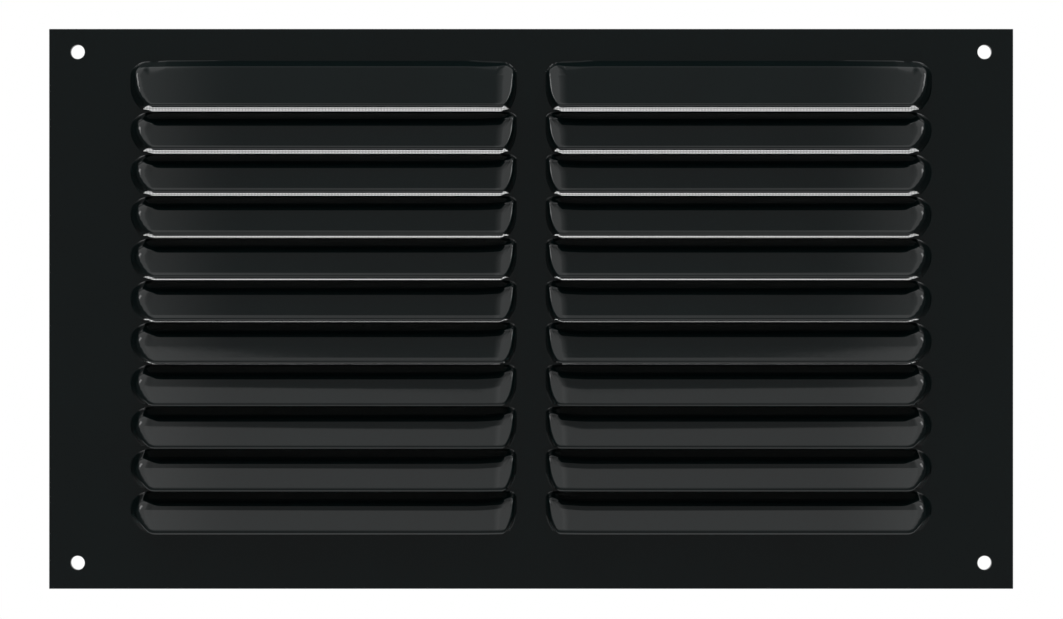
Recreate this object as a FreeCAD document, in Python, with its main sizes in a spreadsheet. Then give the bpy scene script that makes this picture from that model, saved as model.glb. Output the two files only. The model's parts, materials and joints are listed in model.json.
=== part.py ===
# Louvred air grille: one pressed sheet with two columns of louvres that open downwards,
# a fine gauze behind them, four strips that clamp the gauze, and the pins and push-on
# washers that hold the strips. Millimetres. +X to the right, +Z up, the front faces -Y.
# The origin is the middle of the four screw holes, on the wall side of the plate.
import FreeCAD, Part
import os
import re
import Sketcher

Vec = FreeCAD.Vector

SIZES = [
    ("plate_width", 260.0, "pressed plate, side to side"),
    ("plate_height", 151.0, "pressed plate, bottom to top"),
    ("plate_middle", -0.4, "height of the plate's middle above the screw pattern's middle"),
    ("gauge", 1.0, "thickness of the pressed sheet"),
    ("screw_hole", 3.8, "diameter of a screw hole"),
    ("screw_span_x", 244.6, "screw holes, side to side"),
    ("screw_span_z", 137.8, "screw holes, bottom to top"),
    ("rows", 11, "louvres in a column"),
    ("pitch", 11.35, "from one louvre to the next"),
    ("field_top", 64.8, "height of the field's top line, one pitch above the top lip"),
    ("inner_end", 4.0, "from the middle line to a column's inner end"),
    ("outer_end", 107.9, "from the middle line to a column's outer end"),
    ("inner_ramp", 1.9, "width of the steep end wall beside the middle strip"),
    ("outer_ramp", 6.9, "width of the sloped end wall beside the plate's side"),
    ("lip_depth", 8.0, "how far a lip stands in front of the plate"),
    ("face_slope", 0.445, "depth that a louvre's face gains for each unit down"),
    ("top_slope", 1.35, "depth that the bend over the top louvre gains for each unit down"),
    ("top_rise", 1.7, "height of that bend's start above the field's top line"),
    ("shelf_slope", 1.9, "depth that the bend over any other louvre gains for each unit down"),
    ("shelf_fall", 0.4, "distance of that bend's start below the lip above it"),
    ("slot_gap", 0.62, "height of a lip above the next louvre's upper edge"),
    ("press_radius", 1.8, "outside radius of the pressed corners"),
    ("screen_lap", 5.5, "how far the gauze reaches past the louvres"),
    ("screen_thick", 0.4, "thickness of the gauze"),
    ("strip_width", 5.0, "width of a clamping strip"),
    ("strip_thick", 0.8, "thickness of a clamping strip"),
    ("pin_dia", 2.0, "diameter of a weld pin"),
    ("pin_length", 4.2, "length of a weld pin behind the plate"),
    ("pin_hole", 2.4, "diameter of the holes that the pins pass through"),
    ("pin_span_x", 92.0, "from the middle pin of a long strip to the next one"),
    ("pin_span_z", 34.0, "from the middle of a side strip to each of its pins"),
    ("washer_dia", 4.8, "outside diameter of a push-on washer"),
    ("washer_bore", 2.1, "bore of a push-on washer"),
    ("washer_thick", 0.5, "thickness of a push-on washer"),
    ("washer_slots", 6, "slots that split a washer's bore into teeth"),
    ("washer_slot", 0.5, "width of one of those slots"),
    ("washer_reach", 1.7, "how far the slots reach from the washer's middle"),
]

doc = FreeCAD.newDocument("louvred_air_grille")
sheet = doc.addObject("Spreadsheet::Sheet", "Sizes")
for line, (alias, value, note) in enumerate(SIZES, start=1):
    sheet.set(f"A{line}", note)
    sheet.set(f"B{line}", str(value))
    sheet.setAlias(f"B{line}", alias)
doc.recompute()


def size(expression):
    """The value of an expression over the sheet's aliases."""
    return float(sheet.evalExpression(expression))


def on_sheet(expression):
    """The same expression as another object writes it, with the sheet's name in it."""
    aliases = {alias for alias, _, _ in SIZES}
    return re.sub("[a-z_]+", lambda word: ("Sizes." if word[0] in aliases else "") + word[0], expression)


def bind(item, **expressions):
    """Binds properties to expressions; at_x, at_y and at_z are the item's place."""
    for name, expression in expressions.items():
        path = name.replace("at_", ".Placement.Base.")
        item.setExpression(path, on_sheet(expression))
    return item


def block(name, x, y, z):
    """A box between pairs of expressions for its lower and upper limits."""
    box = doc.addObject("Part::Box", name)
    for side, (low, high) in zip(("Length", "Width", "Height"), (x, y, z)):
        bind(box, **{side: f"({high}) - ({low})"})
    return bind(box, at_x=x[0], at_y=y[0], at_z=z[0])


def rods(name, diameter, y, places):
    """Cylinders along Y between two limits, one at each pair of X and Z."""
    made = []
    for x, z in places:
        rod = doc.addObject("Part::Cylinder", f"{name}_rod")
        rod.Placement.Rotation = FreeCAD.Rotation(Vec(1, 0, 0), -90)
        bind(rod, Radius=f"({diameter}) / 2", Height=f"({y[1]}) - ({y[0]})")
        made.append(bind(rod, at_x=x, at_y=y[0], at_z=z))
    return made


def group(kind, name, parts):
    """Part::MultiFuse, Part::MultiCommon or Part::Compound of several objects."""
    whole = doc.addObject(kind, name)
    if kind == "Part::Compound":
        whole.Links = parts
    else:
        whole.Shapes = parts
    return whole


def fixed(name, shapes):
    """One object that holds computed shapes."""
    whole = doc.addObject("Part::Feature", name)
    whole.Shape = Part.makeCompound(shapes)
    return whole


def cut(name, base, tools):
    """The base less every tool."""
    difference = doc.addObject("Part::Cut", name)
    difference.Base = base
    difference.Tool = group("Part::Compound", f"{name}_tools", tools)
    return difference


def prism(name, corners, rotation, direction, length, **place):
    """A closed sketch through corners, given as pairs of expressions, made solid."""
    sketch = doc.addObject("Sketcher::SketchObject", f"{name}_outline")
    sketch.Placement.Rotation = rotation
    points = [Vec(size(u), size(v), 0) for u, v in corners]
    for start, end in zip(points, points[1:] + points[:1]):
        sketch.addGeometry(Part.LineSegment(start, end))
    for i, corner in enumerate(corners):
        following = (i + 1) % len(corners)
        sketch.addConstraint(Sketcher.Constraint("Coincident", i, 2, following, 1))
        for kind, expression in zip(("DistanceX", "DistanceY"), corner):
            bound = sketch.addConstraint(Sketcher.Constraint(kind, -1, 1, i, 1, size(expression)))
            sketch.setExpression(f"Constraints[{bound}]", on_sheet(expression))
    bind(sketch, **place)
    solid = doc.addObject("Part::Extrusion", name)
    solid.Base = sketch
    solid.DirMode = "Custom"
    solid.Dir = direction
    solid.Solid = True
    return bind(solid, LengthFwd=length)


# --- the pressed plate -----------------------------------------------------------------

FRONT_TO_Y = FreeCAD.Rotation(Vec(0, -1, 0), Vec(0, 0, 1), Vec(-1, 0, 0), "ZXY")
PLAN = FreeCAD.Rotation()
LIP = "(field_top - pitch)"
OUTER_LEAN = "(outer_ramp / lip_depth)"
INNER_LEAN = "(inner_ramp / lip_depth)"


def along_x(name, section):
    """A louvre's section, as distances in front of the wall and heights, along the column."""
    return prism(name, section, FRONT_TO_Y, Vec(1, 0, 0), "outer_end + 10", at_x="-outer_end - 5")


def louvre_form(name, foot, slope, inset, radius):
    """A louvre as a solid: a bend from the foot to the shoulder, a face and two end walls."""
    shoulder = f"((lip_depth - ({foot} - {LIP}) * face_slope) / ({slope} - face_slope))"
    below = f"({inset} * hypot(1; 1 / {slope}))"
    behind = f"({inset} * hypot(1; face_slope))"
    down = f"(({below} - {behind} / {slope}) / (1 - face_slope / {slope}))"
    back = f"({behind} - face_slope * {down})"
    section = [
        ("-gauge", f"{foot} - {below} + 2 * gauge / {slope}"),
        (f"gauge + {slope} * {shoulder} - {back}", f"{foot} - {shoulder} - {down}"),
        (f"gauge + lip_depth - {behind} + gauge * face_slope", f"{LIP} - gauge"),
        ("-gauge", f"{LIP} - gauge"),
    ]
    outer_wall = f"({inset} * hypot(1; {OUTER_LEAN}))"
    inner_wall = f"({inset} * hypot(1; {INNER_LEAN}))"
    ends = [
        (f"-outer_end + {outer_wall} - 2 * gauge * {OUTER_LEAN}", "gauge"),
        (f"-outer_end + {outer_wall} + (lip_depth + gauge) * {OUTER_LEAN}", "-lip_depth - 2 * gauge"),
        (f"-inner_end - {inner_wall} - (lip_depth + gauge) * {INNER_LEAN}", "-lip_depth - 2 * gauge"),
        (f"-inner_end - {inner_wall} + 2 * gauge * {INNER_LEAN}", "gauge"),
    ]
    plan = prism(f"{name}_plan", ends, PLAN, Vec(0, 0, 1), "3 * pitch", at_z="field_top - 2 * pitch")
    form = group("Part::MultiCommon", name, [along_x(f"{name}_section", section), plan])
    doc.recompute()
    open_sides = ((0, size("gauge")), (1, size(f"{LIP} - gauge")))
    corners = []
    for number, edge in enumerate(form.Shape.Edges, start=1):
        box = edge.BoundBox
        limits = ((box.YMin, box.YMax), (box.ZMin, box.ZMax))
        on_side = [max(abs(end - place) for end in limits[axis]) < 0.01 for axis, place in open_sides]
        if not any(on_side):
            corners.append((number, radius, radius))
    rounded = doc.addObject("Part::Fillet", f"{name}_rounded")
    rounded.Base = form
    rounded.Edges = corners
    return rounded


def louvre_shell(name, foot, slope, upper_edge):
    """The sheet of one louvre, cut level at its upper edge and square at its lip."""
    tilt = "hypot(1; face_slope)"
    lip_bottom = f"{LIP} - gauge * face_slope / {tilt}"
    trim = [
        ("0", upper_edge),
        ("2 * gauge + lip_depth", upper_edge),
        ("2 * gauge + lip_depth", f"{LIP} + gauge * face_slope"),
        (f"gauge + lip_depth - gauge / {tilt}", lip_bottom),
        ("0", lip_bottom),
    ]
    front = louvre_form(f"{name}_front", foot, slope, "0", size("press_radius"))
    hollow = louvre_form(f"{name}_hollow", foot, slope, "gauge", size("press_radius - gauge"))
    bent = cut(f"{name}_bent", front, [hollow])
    return group("Part::MultiCommon", name, [bent, along_x(f"{name}_trim", trim)])


def louvre_field():
    """Every louvre: the top one and copies of the next one, mirrored to the other column."""
    top = louvre_shell("top_louvre", "(field_top + top_rise)", "top_slope", "field_top + pitch")
    lower = louvre_shell("louvre", "(field_top - shelf_fall)", "shelf_slope", "field_top - slot_gap")
    doc.recompute()
    column = [top.Shape]
    for row in range(1, int(size("rows"))):
        column.append(lower.Shape.translated(Vec(0, 0, -row * size("pitch"))))
    return fixed("louvre_field", column + [louvre.mirror(Vec(), Vec(1, 0, 0)) for louvre in column])


def louvre_plate():
    """The blank less its openings and screw holes, joined to the louvres."""
    blank = block(
        "blank",
        ("-plate_width / 2", "plate_width / 2"),
        ("-gauge", "0"),
        ("plate_middle - plate_height / 2", "plate_middle + plate_height / 2"),
    )
    openings = []
    for low, high in (("-outer_end", "-inner_end"), ("inner_end", "outer_end")):
        height = ("field_top - rows * pitch - slot_gap", "field_top + top_rise")
        openings.append(block("column_opening", (low, high), ("-2 * gauge", "gauge"), height))
    corners = [(f"{i} * screw_span_x / 2", f"{k} * screw_span_z / 2") for i in (-1, 1) for k in (-1, 1)]
    holes = rods("screw_hole", "screw_hole", ("-2 * gauge", "gauge"), corners)
    pierced = cut("pierced_blank", blank, openings + holes)
    return group("Part::MultiFuse", "louvre_plate", [pierced, louvre_field()])


# --- the gauze and what holds it ---------------------------------------------------------

SCREEN_X = ("-outer_end - screen_lap", "outer_end + screen_lap")
SCREEN_Z = ("field_top - rows * pitch - screen_lap", "field_top + screen_lap")
MIDDLE_Z = "(field_top - rows * pitch / 2)"
SIDE_X = "(outer_end + screen_lap - strip_width / 2)"
EDGE_Z = "(rows * pitch / 2 + screen_lap - strip_width / 2)"
STRIP_Y = ("screen_thick", "screen_thick + strip_thick")

LONG_PINS = [(f"{i} * pin_span_x", f"{MIDDLE_Z} + {k} * {EDGE_Z}") for k in (-1, 1) for i in (-1, 0, 1)]
SIDE_PINS = [(f"{i} * {SIDE_X}", f"{MIDDLE_Z} + {k} * pin_span_z") for i in (-1, 1) for k in (-1, 1)]
PINS = LONG_PINS + SIDE_PINS


def pin_holes(name, y):
    return rods(name, "pin_hole", (f"{y[0]} - 1", f"{y[1]} + 1"), PINS)


def insect_screen():
    """The gauze as one thin sheet, with a hole for each pin."""
    y = ("0", "screen_thick")
    return cut("insect_screen", block("gauze", SCREEN_X, y, SCREEN_Z), pin_holes("gauze_hole", y))


def screen_strips():
    """Four flat strips round the gauze: two long ones, and two short ones between them."""
    between = (f"{SCREEN_Z[0]} + strip_width", f"{SCREEN_Z[1]} - strip_width")
    limits = {
        "screen_strip_bottom": (SCREEN_X, (SCREEN_Z[0], f"{SCREEN_Z[0]} + strip_width")),
        "screen_strip_top": (SCREEN_X, (f"{SCREEN_Z[1]} - strip_width", SCREEN_Z[1])),
        "screen_strip_left": ((SCREEN_X[0], f"{SCREEN_X[0]} + strip_width"), between),
        "screen_strip_right": ((f"{SCREEN_X[1]} - strip_width", SCREEN_X[1]), between),
    }
    strips = []
    for name, (x, z) in limits.items():
        flat = block(f"{name}_flat", x, STRIP_Y, z)
        strips.append(cut(name, flat, pin_holes(f"{name}_hole", STRIP_Y)))
    return strips


def weld_pins():
    return group("Part::Compound", "weld_pins", rods("weld_pin", "pin_dia", ("0", "pin_length"), PINS))


def push_washers():
    """Star washers: a flat ring whose bore is split into teeth, one on every pin."""
    y = (STRIP_Y[1], f"{STRIP_Y[1]} + washer_thick")
    through = (f"{y[0]} - 1", f"{y[1]} + 1")
    ring = rods("washer_ring", "washer_dia", y, [("0", "0")])[0]
    bore = rods("washer_bore", "washer_bore", through, [("0", "0")])
    arm = block("washer_arm", ("0", "washer_reach"), through, ("-washer_slot / 2", "washer_slot / 2"))
    doc.recompute()
    turn = 360 / size("washer_slots")
    arms = [arm.Shape.rotated(Vec(), Vec(0, 1, 0), i * turn) for i in range(int(size("washer_slots")))]
    star = cut("star_washer", ring, bore + [fixed("washer_slots", arms)])
    doc.recompute()
    return fixed("push_washers", [star.Shape.translated(Vec(size(x), 0, size(z))) for x, z in PINS])


def export(parts):
    """Checks the document, then writes each sub-part to a file named for its label."""
    doc.recompute()
    for item in doc.Objects:
        if "Invalid" in item.State or "Error" in item.State:
            raise RuntimeError(f"{item.Label} did not compute: {item.State}")
    for part in parts:
        if part.Shape.isNull() or not part.Shape.isValid() or not part.Shape.Solids:
            raise RuntimeError(f"{part.Label} has no valid solid")
        print(part.Label, len(part.Shape.Solids), "solids", round(part.Shape.Volume, 1), "mm3")
    os.makedirs("parts", exist_ok=True)
    for part in parts:
        part.Shape.exportStep(f"parts/{part.Label}.step")


export([louvre_plate(), insect_screen(), *screen_strips(), weld_pins(), push_washers()])
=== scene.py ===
"""The louvred air grille's looks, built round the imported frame: the pressed and painted plate,
the gauze and its strips, the weld pins and their star washers, and a plain pale studio."""

import json
from math import atan2, cos, exp, hypot, log, pi, radians, sin

import bmesh
import bpy
from bpy.props import FloatProperty, FloatVectorProperty, IntProperty, PointerProperty
from mathutils import Matrix, Vector


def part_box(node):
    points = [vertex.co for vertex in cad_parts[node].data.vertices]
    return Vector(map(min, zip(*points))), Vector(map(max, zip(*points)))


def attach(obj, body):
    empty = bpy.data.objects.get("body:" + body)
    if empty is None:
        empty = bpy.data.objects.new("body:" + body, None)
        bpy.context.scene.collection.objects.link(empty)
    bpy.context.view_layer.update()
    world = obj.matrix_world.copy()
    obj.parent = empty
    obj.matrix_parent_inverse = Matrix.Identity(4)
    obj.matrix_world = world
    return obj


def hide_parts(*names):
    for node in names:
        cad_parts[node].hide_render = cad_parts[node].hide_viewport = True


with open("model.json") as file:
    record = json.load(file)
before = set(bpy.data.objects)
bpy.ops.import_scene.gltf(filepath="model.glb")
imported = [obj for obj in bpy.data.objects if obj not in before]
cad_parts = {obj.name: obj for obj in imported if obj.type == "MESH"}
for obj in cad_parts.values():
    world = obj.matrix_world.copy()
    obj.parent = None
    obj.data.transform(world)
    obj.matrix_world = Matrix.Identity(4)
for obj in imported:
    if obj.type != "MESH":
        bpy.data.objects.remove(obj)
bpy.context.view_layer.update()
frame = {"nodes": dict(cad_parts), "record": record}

bl_info = {
    "name": "Louvred air grille",
    "version": (1, 0, 0),
    "blender": (4, 5, 0),
    "location": "3D View > Sidebar > Air grille",
    "description": "Builds the visible pieces of a pressed air grille and a plain studio for it",
    "category": "Object",
}

MM = 0.001
# How far two points may be apart and still lie on one line, or touch. Metres.
ON_LINE, TOUCHING = 1e-7, 1e-6
SCREWS = frame["record"]["mounts"][0]["dims"]
PLATE_LOW, PLATE_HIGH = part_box("louvre_plate")
SCREEN_LOW, SCREEN_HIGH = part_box("insect_screen")


# --- sizes and colours ----------------------------------------------------------------


def length(name, description, millimetres):
    """A setting in metres, given in millimetres."""
    return FloatProperty(
        name=name, description=description, default=millimetres * MM, unit="LENGTH", precision=5
    )


def colour(name, description, value):
    """A setting that is a linear colour."""
    return FloatVectorProperty(
        name=name, description=description, default=value, subtype="COLOR", min=0, max=1
    )


def factor(name, description, value):
    """A setting between nought and one."""
    return FloatProperty(
        name=name, description=description, default=value, min=0, max=1, subtype="FACTOR"
    )


def steepness(name, description, value):
    """A setting that is depth for each unit of fall."""
    return FloatProperty(name=name, description=description, default=value, min=0)


class PlateSettings(bpy.types.PropertyGroup):
    """Sizes of the pressed plate and its paint"""

    gauge: length("Gauge", "Thickness of the sheet", 1.0)
    rows: IntProperty(name="Louvres", description="Louvres in a column", default=11, min=1)
    pitch: length("Pitch", "From one louvre to the next", 11.35)
    field_top: length("Top", "Height of the field's top line, one pitch over the top lip", 64.8)
    inner_end: length("Inner end", "From the middle line to a column", 4.0)
    outer_end: length("Outer end", "From the middle line to a column's far end", 107.9)
    inner_ramp: length("Inner wall", "Width of the wall beside the middle strip", 1.2)
    outer_ramp: length("Outer wall", "Width of the wall beside the plate's side", 3.5)
    inner_pinch: length("Inner pinch", "How far the inner wall draws in towards the lip", 1.8)
    outer_pinch: length("Outer pinch", "How far the outer wall draws in towards the lip", 3.0)
    pinch_fade: length("Pinch fade", "From a slit down to the next louvre's full width", 1.7)
    lip_depth: length("Lip depth", "How far a lip stands in front of the plate", 8.0)
    face_slope: factor("Face slope", "Depth that a face gains for each unit down", 0.445)
    top_slope: steepness("Top slope", "Slope of the top louvre's bend", 1.54)
    top_rise: length("Top rise", "How far that bend starts above the field's top line", 1.7)
    shelf_slope: steepness("Shelf slope", "Slope of the other bends", 1.9)
    shelf_fall: length("Shelf fall", "How far the other bends start below their slit", 0.4)
    slot_gap: length("Slot", "How far a louvre's upper edge is drawn down from the slit", 0.62)
    slot_reach: length("Slot fade", "How far down the sheet follows that edge", 2.1)
    crown_reach: length("Crown", "From a face's inner end to where it starts to curve back", 12.0)
    crown_radius: length("Crown radius", "Radius of that curve", 52.0)
    outer_corner: length("Outer corner", "Rounding of a louvre's outer upper corner", 6.7)
    inner_corner: length("Inner corner", "Rounding of a louvre's inner upper corner", 3.4)
    top_corner: length("Top corner", "Rounding of both upper corners of the top louvre", 5.6)
    lip_round: length("Lip rounding", "Rounding of a lip's drawn edge", 0.5)
    edge_round: length("Edge rounding", "Rounding that paint gives to a sheared edge", 0.12)
    waviness: length("Waviness", "How far the pressed sheet strays from true", 0.02)
    paint: colour("Paint", "Colour of the gloss paint", (0.0012, 0.0046, 0.0048))
    paint_roughness: factor("Paint roughness", "Roughness of the gloss paint", 0.045)


class ScreenSettings(bpy.types.PropertyGroup):
    """Sizes of the gauze and its colour"""

    wire_pitch: length("Wire pitch", "From one wire to the next", 0.4)
    wire: length("Wire", "Thickness of a wire", 0.12)
    wire_colour: colour("Wire colour", "Colour of the wires", (0.12, 0.125, 0.12))


class FixingSettings(bpy.types.PropertyGroup):
    """Sizes and colours of the strips, pins and washers"""

    teeth: IntProperty(name="Teeth", description="Teeth of a star washer", default=6, min=3)
    washer_sheet: length("Washer sheet", "Thickness of a star washer's steel", 0.22)
    washer_flat: length("Washer flat", "Radius where a washer's teeth start to rise", 1.75)
    washer_bore: length("Washer bore", "Radius of a washer's bore", 1.05)
    strip_round: length("Strip rounding", "Rounding of a strip's edges", 0.12)
    zinc: colour("Zinc", "Colour of the strips", (0.60, 0.62, 0.64))
    spring_steel: colour("Washer steel", "Colour of the star washers", (0.50, 0.49, 0.46))
    copper: colour("Copper", "Colour of the flash on the weld pins", (0.72, 0.38, 0.24))


class StageSettings(bpy.types.PropertyGroup):
    """The floor and the camera"""

    floor_drop: length("Floor", "How far the floor is below the grille", 90.0)
    floor_radius: length("Floor radius", "How far the floor reaches", 450.0)
    floor_colour: colour("Floor colour", "Colour of the floor", (0.82, 0.82, 0.82))
    camera_distance: length("Camera distance", "From the wall side to the camera", 466.0)
    camera_shift: length("Camera height", "The camera's height over the screws' middle", -0.56)
    camera_lens: FloatProperty(name="Lens", description="Focal length", default=58.4, unit="CAMERA")


# --- shader nodes ---------------------------------------------------------------------


class Finish:
    """A material under construction: a Principled shader and the nodes that feed it."""

    def __init__(self, name, **constants):
        self.material = bpy.data.materials.new(name)
        self.material.use_nodes = True
        self.nodes = self.material.node_tree.nodes
        self.links = self.material.node_tree.links
        self.shader = self.nodes["Principled BSDF"]
        self.place = self.node("ShaderNodeTexCoord").outputs["Object"]
        for socket, value in constants.items():
            self.shader.inputs[socket.replace("_", " ")].default_value = value

    def node(self, kind, inputs=(), **settings):
        """A new node with its inputs linked or set."""
        made = self.nodes.new(kind)
        for name, value in settings.items():
            setattr(made, name, value)
        for name, value in dict(inputs).items():
            if isinstance(value, bpy.types.NodeSocket):
                self.links.new(value, made.inputs[name])
            else:
                made.inputs[name].default_value = value
        return made

    def feed(self, socket, value):
        """Links a value to one of the shader's sockets."""
        self.links.new(value, self.shader.inputs[socket])

    def noise(self, scale, detail=3.0, stretch=(1, 1, 1)):
        """Clouds of that scale, stretched along the axes."""
        mapped = self.node("ShaderNodeMapping", {"Vector": self.place, "Scale": stretch})
        sockets = {"Vector": mapped.outputs[0], "Scale": scale, "Detail": detail}
        return self.node("ShaderNodeTexNoise", sockets).outputs[0]

    def cells(self, scale):
        """Crystal-like cells."""
        return self.node("ShaderNodeTexVoronoi", {"Vector": self.place, "Scale": scale})

    def span(self, value, low, high, start=0.3, stop=0.7):
        """The value's range from start to stop, as low to high."""
        ends = {"From Min": start, "From Max": stop, "To Min": low, "To Max": high}
        return self.node("ShaderNodeMapRange", {"Value": value, **ends}).outputs[0]

    def tone(self, value, base, light, dark):
        """The base colour times a grey between dark and light."""
        ramp = self.node("ShaderNodeValToRGB", {"Fac": value})
        for stop, level in zip(ramp.color_ramp.elements, (dark, light)):
            stop.color = [channel * level for channel in base] + [1]
        return ramp.outputs[0]

    def bump(self, height, distance, normal=None):
        """A normal for relief of that height in metres."""
        sockets = {"Height": height, "Distance": distance, "Strength": 1.0}
        if normal:
            sockets["Normal"] = normal
        return self.node("ShaderNodeBump", sockets).outputs[0]


def gloss_paint(settings):
    """Black stoved enamel with a little orange peel."""
    finish = Finish("gloss_black_enamel", IOR=1.5)
    cloud = finish.noise(35, 4)
    finish.feed("Base Color", finish.tone(cloud, settings.paint, 1.35, 0.7))
    grain = finish.noise(2600, 2)
    low, high = 0.7 * settings.paint_roughness, 1.4 * settings.paint_roughness
    finish.feed("Roughness", finish.span(grain, low, high))
    peel = finish.bump(finish.noise(520, 2), 1.5e-6)
    finish.feed("Normal", finish.bump(grain, 2.5e-7, peel))
    return finish.material


def drawn_wire(settings):
    """Charcoal coated wire, a little uneven along its length."""
    finish = Finish("charcoal_gauze_wire", IOR=1.45)
    cloud = finish.noise(90, 4)
    finish.feed("Base Color", finish.tone(cloud, settings.wire_colour, 1.12, 0.82))
    finish.feed("Roughness", finish.span(finish.noise(900), 0.4, 0.65))
    finish.feed("Normal", finish.bump(finish.noise(6000, 1), 4e-6))
    return finish.material


def galvanised_steel(settings):
    """Zinc-coated strip with a spangle and faint rolling lines."""
    finish = Finish("galvanised_strip", Metallic=1.0)
    spangle = finish.cells(420)
    grey = finish.node("ShaderNodeSeparateColor", {"Color": spangle.outputs["Color"]}).outputs[0]
    finish.feed("Base Color", finish.tone(grey, settings.zinc, 1.18, 0.78))
    finish.feed("Roughness", finish.span(grey, 0.26, 0.46, 0, 1))
    rolled = finish.noise(900, 2, (0.04, 1, 1))
    finish.feed("Normal", finish.bump(rolled, 2e-6, finish.bump(grey, 3e-6)))
    return finish.material


def copper_flash(settings):
    """Copper-flashed steel, browned in places."""
    finish = Finish("copper_flashed_pin", Metallic=1.0)
    stain = finish.noise(1400, 5)
    finish.feed("Base Color", finish.tone(stain, settings.copper, 1.2, 0.45))
    finish.feed("Roughness", finish.span(stain, 0.5, 0.24))
    finish.feed("Normal", finish.bump(finish.noise(5000, 2, (1, 0.2, 1)), 3e-6))
    return finish.material


def spring_steel(settings):
    """Zinc-plated spring steel with fine blanking marks."""
    finish = Finish("star_washer_steel", Metallic=1.0)
    marks = finish.noise(3500, 3, (1, 1, 0.15))
    finish.feed("Base Color", finish.tone(finish.noise(700), settings.spring_steel, 1.25, 0.75))
    finish.feed("Roughness", finish.span(marks, 0.22, 0.42))
    finish.feed("Normal", finish.bump(marks, 2e-6))
    return finish.material


# --- mesh helpers ---------------------------------------------------------------------


def keep_piece(bm, name, material, slot, *nodes):
    """The finished mesh as a piece that rides on the body in place of its CAD nodes."""
    mesh = bpy.data.meshes.new(name)
    for face in bm.faces:
        face.smooth = True
    bm.to_mesh(mesh)
    bm.free()
    mesh.materials.append(material)
    piece = bpy.data.objects.new(name, mesh)
    bpy.context.scene.collection.objects.link(piece)
    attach(piece, "root")
    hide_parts(*nodes)
    return piece


def round_edges(piece, width, segments=2):
    """A live bevel on every edge sharper than sixty degrees."""
    bevel = piece.modifiers.new("rounded_edges", "BEVEL")
    bevel.limit_method = "ANGLE"
    bevel.angle_limit = radians(60)
    bevel.width = width
    bevel.segments = segments
    bevel.use_clamp_overlap = False
    bevel.harden_normals = True


def around(verts, kind):
    """The edges or faces that meet at those points, each once and in a steady order."""
    return list(dict.fromkeys(item for vert in verts for item in getattr(vert, kind)))


def islands(node):
    """The boxes of a CAD node's separate solids, as pairs of corners."""
    bm = bmesh.new()
    bm.from_mesh(frame["nodes"][node].data)
    bmesh.ops.remove_doubles(bm, verts=bm.verts, dist=ON_LINE)
    left = set(bm.verts)
    boxes = []
    while left:
        grown = [left.pop()]
        for vert in grown:
            for edge in vert.link_edges:
                other = edge.other_vert(vert)
                if other in left:
                    left.discard(other)
                    grown.append(other)
        corners = [[pick(v.co[axis] for v in grown) for axis in range(3)] for pick in (min, max)]
        boxes.append(tuple(Vector(corner) for corner in corners))
    bm.free()
    return sorted(boxes, key=lambda box: (round(box[0].z, 5), round(box[0].x, 5)))


# --- the pressed plate ----------------------------------------------------------------


# How gradually a louvre's surfaces run into each other, in metres of depth.
BEND_SOFT, TOP_BEND_SOFT = 0.8 * MM, 0.25 * MM
OUTER_SOFT, INNER_SOFT = 0.8 * MM, 0.9 * MM
# On the top louvre that softness fades out over these distances from the walls.
TOP_FADE = (4 * MM, 14 * MM)
TOP_OUTER_SHARE = 0.7
LEAST_SHARE = 0.01
# The height of an upper corner's ellipse for each unit of its width.
OUTER_CORNER_SHARE, INNER_CORNER_SHARE = 0.8, 0.75
# Where the grid lines start and stop following the pinch, from a louvre's ends.
OUTER_FOLLOW = (-0.9 * MM, 0, 4 * MM, 9.9 * MM)
INNER_FOLLOW = (-0.6 * MM, 0, 1.6 * MM, 6.6 * MM)
# Where a slot starts to open and where it is fully open, from a louvre's ends.
OUTER_OPENING = (3.6 * MM, 6.2 * MM)
INNER_OPENING = (2.6 * MM, 4.6 * MM)
# Grid lines over the field's top line, and down from each slit, in millimetres.
RISES = (1.9, 1.7, 1.5, 1.2, 0.9, 0.5, 0.2, 0.0)
FALLS = (0.2, 0.4, 0.55, 0.7, 0.9, 1.1, 1.35, 1.65, 2.0, 2.2, 2.4, 2.6, 2.8, 3.0, 3.15, 3.3)
FACE_FALLS = (4.2, 5.6, 7.2, 8.8, 10.0)
# The grid line under the last slot, in millimetres from it.
LAST_FALL = 1.4
# Half the side of the grid cell that a screw hole is made in.
HOLE_CELL = 2.15 * MM
# In how many parts a side of that cell is cut.
HOLE_CUTS = 11
# Steps between the upright grid lines: outer end, middle, crown and inner end.
COLUMN_STEPS = (28, 9, 7, 22)
# Where the crown's and the inner end's grid lines begin, from the inner end.
CROWN_LINES, INNER_LINES = 13 * MM, 6 * MM
# The undulation's lengths for a turn of one radian, in metres, its bend and its shift.
FINE_X, FINE_Z, BROAD_X, BROAD_Z = 0.0093, 0.021, 0.0171, 0.0127
WAVE_BEND, WAVE_SHIFT = 1.3, 0.8
# Depth in front of the plate from which the undulation is in full.
WAVY_FROM = 3 * MM
# Depth in front of the plate from which an edge on a slot is a lip.
LIP_FROM = 2 * MM
# Edges that turn by more than this stay sharp, and lips turn by more than that.
SHARP, LIP_TURN = radians(50), 1.0


def soft_least(a, b, reach):
    """The smaller value, with a rounded change-over."""
    overlap = max(reach - abs(a - b), 0) / reach
    return min(a, b) - overlap * overlap * reach / 4


def long_least(a, b, reach):
    """The smaller value, with a change-over that fades out slowly."""
    return min(a, b) - reach * log(1 + exp(-abs(a - b) / reach))


def ease(value, start, stop):
    """A smooth rise from nought at start to one at stop."""
    t = min(max((value - start) / (stop - start), 0), 1)
    return t * t * (3 - 2 * t)


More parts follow.
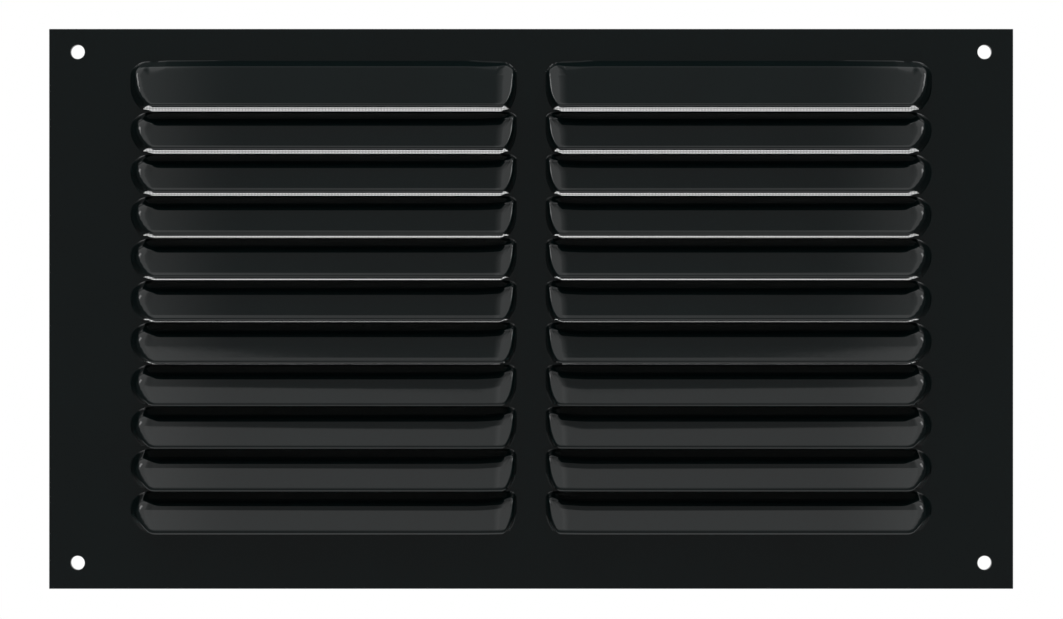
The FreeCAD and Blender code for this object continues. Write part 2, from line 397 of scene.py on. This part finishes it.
def corner_wall(u, fall, wall_slope, shelf_slope, reach_u, reach_fall):
    """Depth of the wall round an upper corner, whose foot is a quarter of an ellipse."""
    a = max((reach_u - u) / reach_u, 0)
    b = max((reach_fall - fall) / reach_fall, 0)
    if a == 0 or b == 0:
        return min(wall_slope * u, shelf_slope * fall)
    rho = hypot(a, b)
    share = (b / rho) ** 2
    return (wall_slope * reach_u * (1 - share) + shelf_slope * reach_fall * share) * (1 - rho)


class Press:
    """The form that a louvre is pressed to, as depth in front of the plate. Metres."""

    def __init__(self, s):
        self.s = s
        self.width = s.outer_end - s.inner_end

    def depth(self, u, fall, top):
        """Depth at u from the outer end, fall below the slit line over the louvre."""
        s = self.s
        slope, drop, soft = s.shelf_slope, fall - s.shelf_fall, BEND_SOFT
        outer_corner, inner_corner = s.outer_corner, s.inner_corner
        outer_soft, inner_soft = OUTER_SOFT, INNER_SOFT
        if top:
            slope, drop, soft = s.top_slope, fall + s.top_rise, TOP_BEND_SOFT
            outer_corner = inner_corner = s.top_corner
            outer_soft *= LEAST_SHARE + TOP_OUTER_SHARE * (1 - ease(u, *TOP_FADE))
            inner_soft *= LEAST_SHARE + 1 - ease(self.width - u, *TOP_FADE)
        crown = max(s.crown_reach - (self.width - u), 0) ** 2 / (2 * s.crown_radius)
        face = s.lip_depth - (s.pitch - fall) * s.face_slope - crown
        form = soft_least(slope * drop, face, soft)
        pinch = self.pinch(fall)
        outer = corner_wall(
            u - s.outer_pinch * pinch,
            drop,
            s.lip_depth / s.outer_ramp,
            slope,
            outer_corner,
            OUTER_CORNER_SHARE * outer_corner,
        )
        inner = corner_wall(
            self.width - u - s.inner_pinch * pinch,
            drop,
            s.lip_depth / s.inner_ramp,
            slope,
            inner_corner,
            INNER_CORNER_SHARE * inner_corner,
        )
        form = long_least(form, outer, outer_soft)
        form = long_least(form, inner, inner_soft)
        return max(form, 0)

    def pinch(self, fall):
        """Share of the pinch of a louvre's ends: nought in its upper half, one at its lip."""
        return max(2 * fall / self.s.pitch - 1, 0) ** 2

    def draw_in(self, u, share):
        """How far a grid line of the sheet follows the pinched walls."""
        inward, outward = (
            ease(end, *follow[:2]) * (1 - ease(end, *follow[2:]))
            for end, follow in ((u, OUTER_FOLLOW), (self.width - u, INNER_FOLLOW))
        )
        return share * (self.s.outer_pinch * inward - self.s.inner_pinch * outward)

    def slot_share(self, u):
        """Nought where a slot ends, one along its open length."""
        return ease(u, *OUTER_OPENING) * ease(self.width - u, *INNER_OPENING)


def spread(start, *runs):
    """Values from start on, as runs of (stop, steps)."""
    values = [start]
    for stop, steps in runs:
        first = values[-1]
        values += [first + (stop - first) * (i + 1) / steps for i in range(steps)]
    return values


def plate_columns(s, hole_x):
    """The sheet's upright grid lines, from its left side to the middle."""
    width = s.outer_end - s.inner_end
    u = spread(
        OUTER_FOLLOW[0],
        (OUTER_FOLLOW[3], COLUMN_STEPS[0]),
        (width - CROWN_LINES, COLUMN_STEPS[1]),
        (width - INNER_LINES, COLUMN_STEPS[2]),
        (width - INNER_FOLLOW[0], COLUMN_STEPS[3]),
    )
    beside_hole = [hole_x - HOLE_CELL, hole_x + HOLE_CELL]
    return [PLATE_LOW.x, *beside_hole, *(value - s.outer_end for value in u), 0]


def plate_rows(s, hole_z):
    """The sheet's level grid lines from the bottom up, and the places of the slots in them."""
    lines = [PLATE_HIGH.z, hole_z + HOLE_CELL, hole_z - HOLE_CELL]
    lines += [s.field_top + rise * MM for rise in RISES]
    slots = []
    for row in range(s.rows):
        top = s.field_top - row * s.pitch
        lines += [top - fall * MM for fall in FALLS + FACE_FALLS]
        slots.append(top - s.pitch)
        lines.append(slots[-1])
    lines += [slots[-1] - LAST_FALL * MM, -hole_z + HOLE_CELL, -hole_z - HOLE_CELL, PLATE_LOW.z]
    return sorted(lines), slots


def slit_sheet(s, columns, rows, slots):
    """A flat half of the sheet on those lines, cut along its slots."""
    bm = bmesh.new()
    across, up = len(columns) - 1, len(rows) - 1
    bmesh.ops.create_grid(bm, x_segments=across, y_segments=up, size=1)
    for vert in bm.verts:
        i, k = round((vert.co.x + 1) / 2 * across), round((vert.co.y + 1) / 2 * up)
        vert.co = (columns[i], -s.gauge, rows[k])
    cuts = []
    for edge in bm.edges:
        middle = (edge.verts[0].co + edge.verts[1].co) / 2
        level = abs(edge.verts[0].co.z - edge.verts[1].co.z) < ON_LINE
        inside = s.inner_end < -middle.x < s.outer_end
        if level and inside and any(abs(middle.z - slot) < ON_LINE for slot in slots):
            cuts.append(edge)
    bmesh.ops.split_edges(bm, edges=cuts)
    return bm


def press_louvres(bm, s):
    """Moves the sheet's points to the louvres' form."""
    press = Press(s)
    for vert in bm.verts:
        u = vert.co.x + s.outer_end
        if not -MM < u < press.width + MM:
            continue
        heights = [face.calc_center_median().z for face in vert.link_faces]
        row = max(int((s.field_top - sum(heights) / len(heights)) // s.pitch), 0)
        fall = s.field_top - row * s.pitch - vert.co.z
        pinched = press.pinch(fall)
        if row > 0 and fall < s.pinch_fade:
            pinched = (1 - fall / s.pinch_fade) ** 2
        vert.co.x += press.draw_in(u, pinched)
        u = vert.co.x + s.outer_end
        share = press.slot_share(u)
        if row >= s.rows:
            if abs(fall) < ON_LINE:
                vert.co.z -= s.slot_gap * share
            continue
        if row > 0 and fall < s.slot_reach:
            drawn = s.slot_gap * share * (1 - fall / s.slot_reach)
            vert.co.z -= drawn
            fall += drawn
        vert.co.y -= press.depth(u, fall, row == 0)


def pierce(bm, middle, radius):
    """A round hole in the middle of a grid cell."""
    face = min(bm.faces, key=lambda f: (f.calc_center_median() - middle).length)
    sides = list(face.edges)
    bmesh.ops.delete(bm, geom=[face], context="FACES_ONLY")
    bmesh.ops.subdivide_edges(bm, edges=sides, cuts=HOLE_CUTS)
    reach = HOLE_CELL + 10 * TOUCHING
    square = []
    for edge in bm.edges:
        offsets = [vert.co - middle for vert in edge.verts]
        if edge.is_boundary and all(max(abs(o.x), abs(o.z)) < reach for o in offsets):
            square.append(edge)
    rim = bmesh.ops.extrude_edge_only(bm, edges=square)["geom"]
    for vert in (item for item in rim if isinstance(item, bmesh.types.BMVert)):
        vert.co = middle + (vert.co - middle).normalized() * radius


def round_lips(bm, s, slots):
    """Rounds the outer corner of every lip."""
    noses = []
    for edge in bm.edges:
        ends = [vert.co for vert in edge.verts]
        proud = all(-end.y > s.gauge + LIP_FROM for end in ends)
        on_lip = all(min(abs(end.z - slot) for slot in slots) < TOUCHING for end in ends)
        if proud and on_lip and len(edge.link_faces) == 2 and edge.calc_face_angle() > LIP_TURN:
            noses.append(edge)
    bmesh.ops.bevel(
        bm,
        geom=noses,
        offset=s.lip_round,
        segments=4,
        profile=0.5,
        affect="EDGES",
        material=-1,
    )


def wave(x, z):
    """Slow undulation of the sheet, between about -1 and 1."""
    fine = sin(x / FINE_X + WAVE_BEND * sin(z / FINE_Z))
    broad = cos(x / BROAD_X - z / BROAD_Z + WAVE_SHIFT)
    return 0.5 * fine + 0.5 * broad


class GRILLE_OT_press_plate(bpy.types.Operator):
    """Press the plate's two columns of louvres from one sheet and paint it"""

    bl_idname = "grille.press_plate"
    bl_label = "Press the plate"

    def execute(self, context):
        s = context.scene.grille_plate
        hole_x, hole_z = -SCREWS["spacing_x_mm"] * MM / 2, SCREWS["spacing_y_mm"] * MM / 2
        rows, slots = plate_rows(s, hole_z)
        bm = slit_sheet(s, plate_columns(s, hole_x), rows, slots)
        press_louvres(bm, s)
        for z in (hole_z, -hole_z):
            pierce(bm, Vector((hole_x, -s.gauge, z)), SCREWS["hole_r_mm"] * MM)
        whole = bm.verts[:] + bm.edges[:] + bm.faces[:]
        bmesh.ops.mirror(bm, geom=whole, merge_dist=TOUCHING, axis="X")
        for vert in bm.verts:
            raised = min((-s.gauge - vert.co.y) / WAVY_FROM, 1)
            if raised > 0:
                vert.co.y += raised * s.waviness * (1 + wave(vert.co.x, vert.co.z)) / 2
        bmesh.ops.remove_doubles(bm, verts=bm.verts, dist=ON_LINE)
        bmesh.ops.recalc_face_normals(bm, faces=bm.faces)
        if sum(face.normal.y * face.calc_area() for face in bm.faces) > 0:
            bmesh.ops.reverse_faces(bm, faces=bm.faces)
        bmesh.ops.solidify(bm, geom=bm.faces[:], thickness=s.gauge)
        round_lips(bm, s, slots)
        for edge in bm.edges:
            edge.smooth = edge.calc_face_angle(0) < SHARP
        plate = keep_piece(bm, "pressed_plate", gloss_paint(s), "gloss_black", "louvre_plate")
        round_edges(plate, s.edge_round)
        return {"FINISHED"}


# --- the gauze and what holds it ------------------------------------------------------


# The wires' middles stand off the gauze's middle by this share of a wire.
WIRE_STANDOFF = 0.55
# Sides of a pin, its chamfer as a share of its radius, and its rounded edges.
PIN_SIDES, PIN_CHAMFER, PIN_EDGE = 28, 0.35, 0.02 * MM
# Grid steps of each washer tooth, the first of which is the slot beside it.
TOOTH_STEPS = 8
# Share of its rise that a tooth has half-way up, and a washer's rounded edges.
TOOTH_BEND, WASHER_EDGE = 0.6, 0.04 * MM


class GRILLE_OT_lay_screen(bpy.types.Operator):
    """Lay the gauze behind the louvres, wire by wire"""

    bl_idname = "grille.lay_screen"
    bl_label = "Lay the gauze"

    def execute(self, context):
        s = context.scene.grille_screen
        size = SCREEN_HIGH - SCREEN_LOW
        middle = (SCREEN_LOW + SCREEN_HIGH) / 2
        bm = bmesh.new()
        off = s.wire * WIRE_STANDOFF
        for axis, other, y in ((0, 2, middle.y - off), (2, 0, middle.y + off)):
            count = int((size[axis] - s.wire) / s.wire_pitch)
            scale = [s.wire, s.wire, s.wire]
            scale[other] = size[other]
            place = Vector((middle.x, y, middle.z))
            place[axis] -= count * s.wire_pitch / 2
            matrix = Matrix.Translation(place) @ Matrix.Diagonal((*scale, 1))
            first = bmesh.ops.create_cube(bm, size=1, matrix=matrix)["verts"]
            parts = first + around(first, "link_edges") + around(first, "link_faces")
            step = Vector()
            step[axis] = s.wire_pitch
            bmesh.ops.spin(
                bm, geom=parts, angle=0, steps=count, use_duplicate=True, dvec=step, axis=(0, 1, 0)
            )
        bmesh.ops.recalc_face_normals(bm, faces=bm.faces)
        screen = keep_piece(bm, "fly_gauze", drawn_wire(s), "screen_gauze", "insect_screen")
        for polygon in screen.data.polygons:
            polygon.use_smooth = False
        return {"FINISHED"}


class GRILLE_OT_roll_strips(bpy.types.Operator):
    """Round the edges of the four clamping strips and galvanise them"""

    bl_idname = "grille.roll_strips"
    bl_label = "Roll the strips"

    def execute(self, context):
        s = context.scene.grille_fixing
        material = galvanised_steel(s)
        for side in ("top", "bottom", "left", "right"):
            node = f"screen_strip_{side}"
            bm = bmesh.new()
            bm.from_mesh(frame["nodes"][node].data)
            bmesh.ops.remove_doubles(bm, verts=bm.verts, dist=ON_LINE)
            bmesh.ops.dissolve_limit(bm, angle_limit=radians(2), verts=bm.verts, edges=bm.edges)
            strip = keep_piece(bm, f"clamping_strip_{side}", material, "strip_steel", node)
            round_edges(strip, s.strip_round)
        return {"FINISHED"}


class GRILLE_OT_weld_pins(bpy.types.Operator):
    """Turn the ten weld pins with their chamfered tips"""

    bl_idname = "grille.weld_pins"
    bl_label = "Weld the pins"

    def execute(self, context):
        s = context.scene.grille_fixing
        bm = bmesh.new()
        for low, high in islands("weld_pins"):
            radius = (high.x - low.x) / 2
            place = Matrix.Translation((low + high) / 2) @ Matrix.Rotation(-pi / 2, 4, "X")
            rod = bmesh.ops.create_cone(
                bm,
                cap_ends=True,
                segments=PIN_SIDES,
                radius1=radius,
                radius2=radius,
                depth=high.y - low.y,
                matrix=place,
            )["verts"]
            tip = [
                edge
                for edge in around(rod, "link_edges")
                if all(vert.co.y > high.y - TOUCHING for vert in edge.verts)
            ]
            bmesh.ops.bevel(
                bm,
                geom=tip,
                offset=PIN_CHAMFER * radius,
                segments=3,
                profile=0.5,
                affect="EDGES",
                material=-1,
            )
        pins = keep_piece(bm, "weld_studs", copper_flash(s), "pin_steel", "weld_pins")
        round_edges(pins, PIN_EDGE, 1)
        return {"FINISHED"}


class GRILLE_OT_stamp_washers(bpy.types.Operator):
    """Stamp the ten star washers, whose teeth rise round the pins"""

    bl_idname = "grille.stamp_washers"
    bl_label = "Stamp the washers"

    def execute(self, context):
        s = context.scene.grille_fixing
        bm = bmesh.new()
        half_way = (s.washer_flat + s.washer_bore) / 2
        levels = ((s.washer_flat, 0), (half_way, TOOTH_BEND), (s.washer_bore, 1))
        for low, high in islands("push_washers"):
            middle = (low + high) / 2
            middle.y = low.y + s.washer_sheet
            outer = (high.x - low.x) / 2
            rise = high.y - low.y - s.washer_sheet
            place = Matrix.Translation(middle) @ Matrix.Rotation(-pi / 2, 4, "X")
            count = s.teeth * TOOTH_STEPS
            ring = bmesh.ops.create_circle(bm, segments=count, radius=outer, matrix=place)
            edges = around(ring["verts"], "link_edges")
            radius = outer
            for ring_radius, share in levels:
                grown = bmesh.ops.extrude_edge_only(bm, edges=edges)["geom"]
                verts = [item for item in grown if isinstance(item, bmesh.types.BMVert)]
                new = set(verts)
                edges = [
                    item
                    for item in grown
                    if isinstance(item, bmesh.types.BMEdge)
                    and item.is_boundary
                    and new.issuperset(item.verts)
                ]
                for vert in verts:
                    spoke = (vert.co - middle) * ring_radius / radius
                    vert.co.x, vert.co.z = middle.x + spoke.x, middle.z + spoke.z
                    vert.co.y = middle.y + rise * share
                radius = ring_radius
            slots = []
            for face in bm.faces:
                offset = face.calc_center_median() - middle
                if hypot(offset.x, offset.z) < s.washer_flat:
                    turn = (atan2(offset.z, offset.x) / (2 * pi) * s.teeth) % 1
                    if turn < 1 / TOOTH_STEPS:
                        slots.append(face)
            bmesh.ops.delete(bm, geom=slots, context="FACES")
        bmesh.ops.recalc_face_normals(bm, faces=bm.faces)
        if sum(face.normal.y for face in bm.faces) < 0:
            bmesh.ops.reverse_faces(bm, faces=bm.faces)
        washers = keep_piece(bm, "star_washers", spring_steel(s), "washer_steel", "push_washers")
        thick = washers.modifiers.new("washer_sheet", "SOLIDIFY")
        thick.thickness = s.washer_sheet
        thick.offset = -1
        round_edges(washers, WASHER_EDGE)
        return {"FINISHED"}


# --- the stage ------------------------------------------------------------------------


# The surroundings that are reflected. Each change-over goes from one sine of a
# direction to another, and from the third number's brightness to the fourth's.
OVERHEAD = (0.7125, 0.718, 0.84, 0.27)
RISE_ASIDE = (0.165, 0.25, 0.0, 0.50)
RISE_ZENITH = (0.93, 0.97, 0.0, 0.12)
WINDOW, WINDOW_LEVEL = (0.222, 0.236), 1.05
LOWER_ROOM = (-0.26, -0.19, 1.0, 0.21)
UPPER_ROOM = (0.50, 0.62)
FAR_ASIDE, FAR_LEVEL = (0.60, 0.75), 0.09
WHITE_CARD = (0.28, 0.42, 1.0, 0.03)
BEHIND = (0.15, 0.38)
# The lamps: where they are, how large, and how bright.
SIDE_X, SIDE_Y, SIDE_Z, SIDE_SIZE, SIDE_RADIANCE = 0.78, -0.66, 1.1, 0.32, 3.6
TOP_Z, TOP_SIZE, TOP_RADIANCE = 1.3, 1.2, 2.6
# How far the camera stands aside of the grille's middle, and how near it sees.
CAMERA_ASIDE, CAMERA_NEAREST = 0.1 * MM, 10 * MM


class Sky:
    """Maths nodes for the world."""

    def __init__(self, world):
        world.use_nodes = True
        self.nodes = world.node_tree.nodes
        self.links = world.node_tree.links
        self.background = self.nodes["Background"]
        direction = self.nodes.new("ShaderNodeTexCoord").outputs["Generated"]
        split = self.nodes.new("ShaderNodeSeparateXYZ")
        self.links.new(direction, split.inputs[0])
        self.x, self.y, self.z = split.outputs

    def put(self, node, index, value):
        """Links or sets one input of a node."""
        if isinstance(value, bpy.types.NodeSocket):
            self.links.new(value, node.inputs[index])
        else:
            node.inputs[index].default_value = value

    def maths(self, operation, *values):
        """The result of a maths node."""
        node = self.nodes.new("ShaderNodeMath")
        node.operation = operation
        for index, value in enumerate(values):
            self.put(node, index, value)
        return node.outputs[0]

    def step(self, value, start, stop, low=0.0, high=1.0):
        """A smooth change from low to high while the value goes from start to stop."""
        node = self.nodes.new("ShaderNodeMapRange")
        node.interpolation_type = "SMOOTHSTEP"
        for index, item in enumerate((value, start, stop, low, high)):
            self.put(node, index, item)
        return node.outputs[0]

    def blend(self, share, a, b):
        """A mix of two levels."""
        node = self.nodes.new("ShaderNodeMix")
        for name, value in (("Factor", share), ("A", a), ("B", b)):
            self.put(node, name, value)
        return node.outputs[0]


def light_world(world):
    """Plain white for the eye; a grey room with a white card behind the grille for reflections."""
    sky = Sky(world)
    aside = sky.maths("ABSOLUTE", sky.x)
    upper = sky.maths("ADD", sky.step(sky.z, *OVERHEAD), sky.step(aside, *RISE_ASIDE))
    upper = sky.maths("ADD", upper, sky.step(sky.z, *RISE_ZENITH))
    upper = sky.blend(sky.step(aside, *WINDOW), upper, WINDOW_LEVEL)
    front = sky.blend(sky.step(sky.z, *UPPER_ROOM), sky.step(sky.z, *LOWER_ROOM), upper)
    sides = sky.blend(sky.step(aside, *FAR_ASIDE), front, FAR_LEVEL)
    room = sky.blend(sky.step(sky.y, *BEHIND), sides, sky.step(sky.z, *WHITE_CARD))
    rays = sky.nodes.new("ShaderNodeLightPath")
    level = sky.blend(rays.outputs["Is Camera Ray"], room, 1.0)
    sky.links.new(level, sky.background.inputs["Strength"])
    sky.background.inputs["Color"].default_value = (1, 1, 1, 1)


def floor_material(settings):
    """Matt pale floor that runs out into the white far from the grille."""
    finish = Finish("pale_floor", Roughness=0.9)
    finish.shader.inputs["Specular IOR Level"].default_value = 0.0
    cloud = finish.noise(6, 3)
    finish.feed("Base Color", finish.tone(cloud, settings.floor_colour, 1.01, 0.99))
    away = finish.node("ShaderNodeVectorMath", {0: finish.place}, operation="LENGTH")
    away = away.outputs["Value"]
    far = finish.span(away, 0, 1, 0.5 * settings.floor_radius, settings.floor_radius)
    rays = finish.node("ShaderNodeLightPath")
    seen = finish.node(
        "ShaderNodeMath", {0: far, 1: rays.outputs["Is Camera Ray"]}, operation="MULTIPLY"
    ).outputs[0]
    share = finish.node(
        "ShaderNodeMath", {0: seen, 1: rays.outputs["Is Glossy Ray"]}, operation="MAXIMUM"
    ).outputs[0]
    white = finish.node("ShaderNodeEmission", {"Color": (1, 1, 1, 1), "Strength": 1.0})
    mixed = finish.node(
        "ShaderNodeMixShader", {0: share, 1: finish.shader.outputs[0], 2: white.outputs[0]}
    )
    finish.links.new(mixed.outputs[0], finish.nodes["Material Output"].inputs["Surface"])
    return finish.material


def add_panel(name, place, size, radiance):
    """A square soft lamp of that radiance, turned to the grille's middle."""
    lamp = bpy.data.lights.new(name, "AREA")
    lamp.size = size
    lamp.energy = radiance * pi * size * size
    panel = bpy.data.objects.new(name, lamp)
    turn = (Vector() - Vector(place)).to_track_quat("-Z", "Y").to_matrix().to_4x4()
    panel.matrix_world = Matrix.Translation(place) @ turn
    bpy.context.scene.collection.objects.link(panel)
    return panel


class GRILLE_OT_light_stage(bpy.types.Operator):
    """Set up the floor, the lamps, the white surroundings and the camera"""

    bl_idname = "grille.light_stage"
    bl_label = "Light the stage"

    def execute(self, context):
        s = context.scene.grille_stage
        scene = context.scene
        scene.view_settings.view_transform = "Standard"
        bm = bmesh.new()
        bmesh.ops.create_circle(bm, cap_ends=True, segments=96, radius=s.floor_radius)
        mesh = bpy.data.meshes.new("floor")
        bmesh.ops.translate(bm, verts=bm.verts, vec=(0, 0, PLATE_LOW.z - s.floor_drop))
        bm.to_mesh(mesh)
        bm.free()
        mesh.materials.append(floor_material(s))
        floor = bpy.data.objects.new("floor", mesh)
        scene.collection.objects.link(floor)
        for side in (-1, 1):
            place = (side * SIDE_X, SIDE_Y, SIDE_Z)
            add_panel(f"side_panel_{side + 2}", place, SIDE_SIZE, SIDE_RADIANCE)
        top = add_panel("top_panel", (0, 0, TOP_Z), TOP_SIZE, TOP_RADIANCE)
        top.visible_glossy = False
        world = scene.world or bpy.data.worlds.new("studio")
        scene.world = world
        light_world(world)
        lens = bpy.data.cameras.new("camera")
        lens.lens = s.camera_lens
        lens.clip_start = CAMERA_NEAREST
        camera = bpy.data.objects.new("camera", lens)
        camera.location = (CAMERA_ASIDE, -s.camera_distance, s.camera_shift)
        camera.rotation_euler = (pi / 2, 0, 0)
        scene.collection.objects.link(camera)
        scene.camera = camera
        return {"FINISHED"}


# --- the add-on -----------------------------------------------------------------------

OPERATORS = (
    GRILLE_OT_press_plate,
    GRILLE_OT_lay_screen,
    GRILLE_OT_roll_strips,
    GRILLE_OT_weld_pins,
    GRILLE_OT_stamp_washers,
    GRILLE_OT_light_stage,
)

GROUPS = {
    "grille_plate": PlateSettings,
    "grille_screen": ScreenSettings,
    "grille_fixing": FixingSettings,
    "grille_stage": StageSettings,
}


class GRILLE_PT_panel(bpy.types.Panel):
    """Lists the steps and their settings"""

    bl_label = "Air grille"
    bl_space_type = "VIEW_3D"
    bl_region_type = "UI"
    bl_category = "Air grille"

    def draw(self, context):
        for operator in OPERATORS:
            self.layout.operator(operator.bl_idname)
        for name, group in GROUPS.items():
            box = self.layout.box()
            for setting in group.__annotations__:
                box.prop(getattr(context.scene, name), setting)


def register():
    for kind in (*GROUPS.values(), *OPERATORS, GRILLE_PT_panel):
        bpy.utils.register_class(kind)
    for name, group in GROUPS.items():
        setattr(bpy.types.Scene, name, PointerProperty(type=group))


def unregister():
    for name in GROUPS:
        delattr(bpy.types.Scene, name)
    for kind in (GRILLE_PT_panel, *reversed(OPERATORS), *GROUPS.values()):
        bpy.utils.unregister_class(kind)


def main():
    register()
    for operator in OPERATORS:
        category, name = operator.bl_idname.split(".")
        getattr(getattr(bpy.ops, category), name)()


if __name__ == "__main__":
    main()
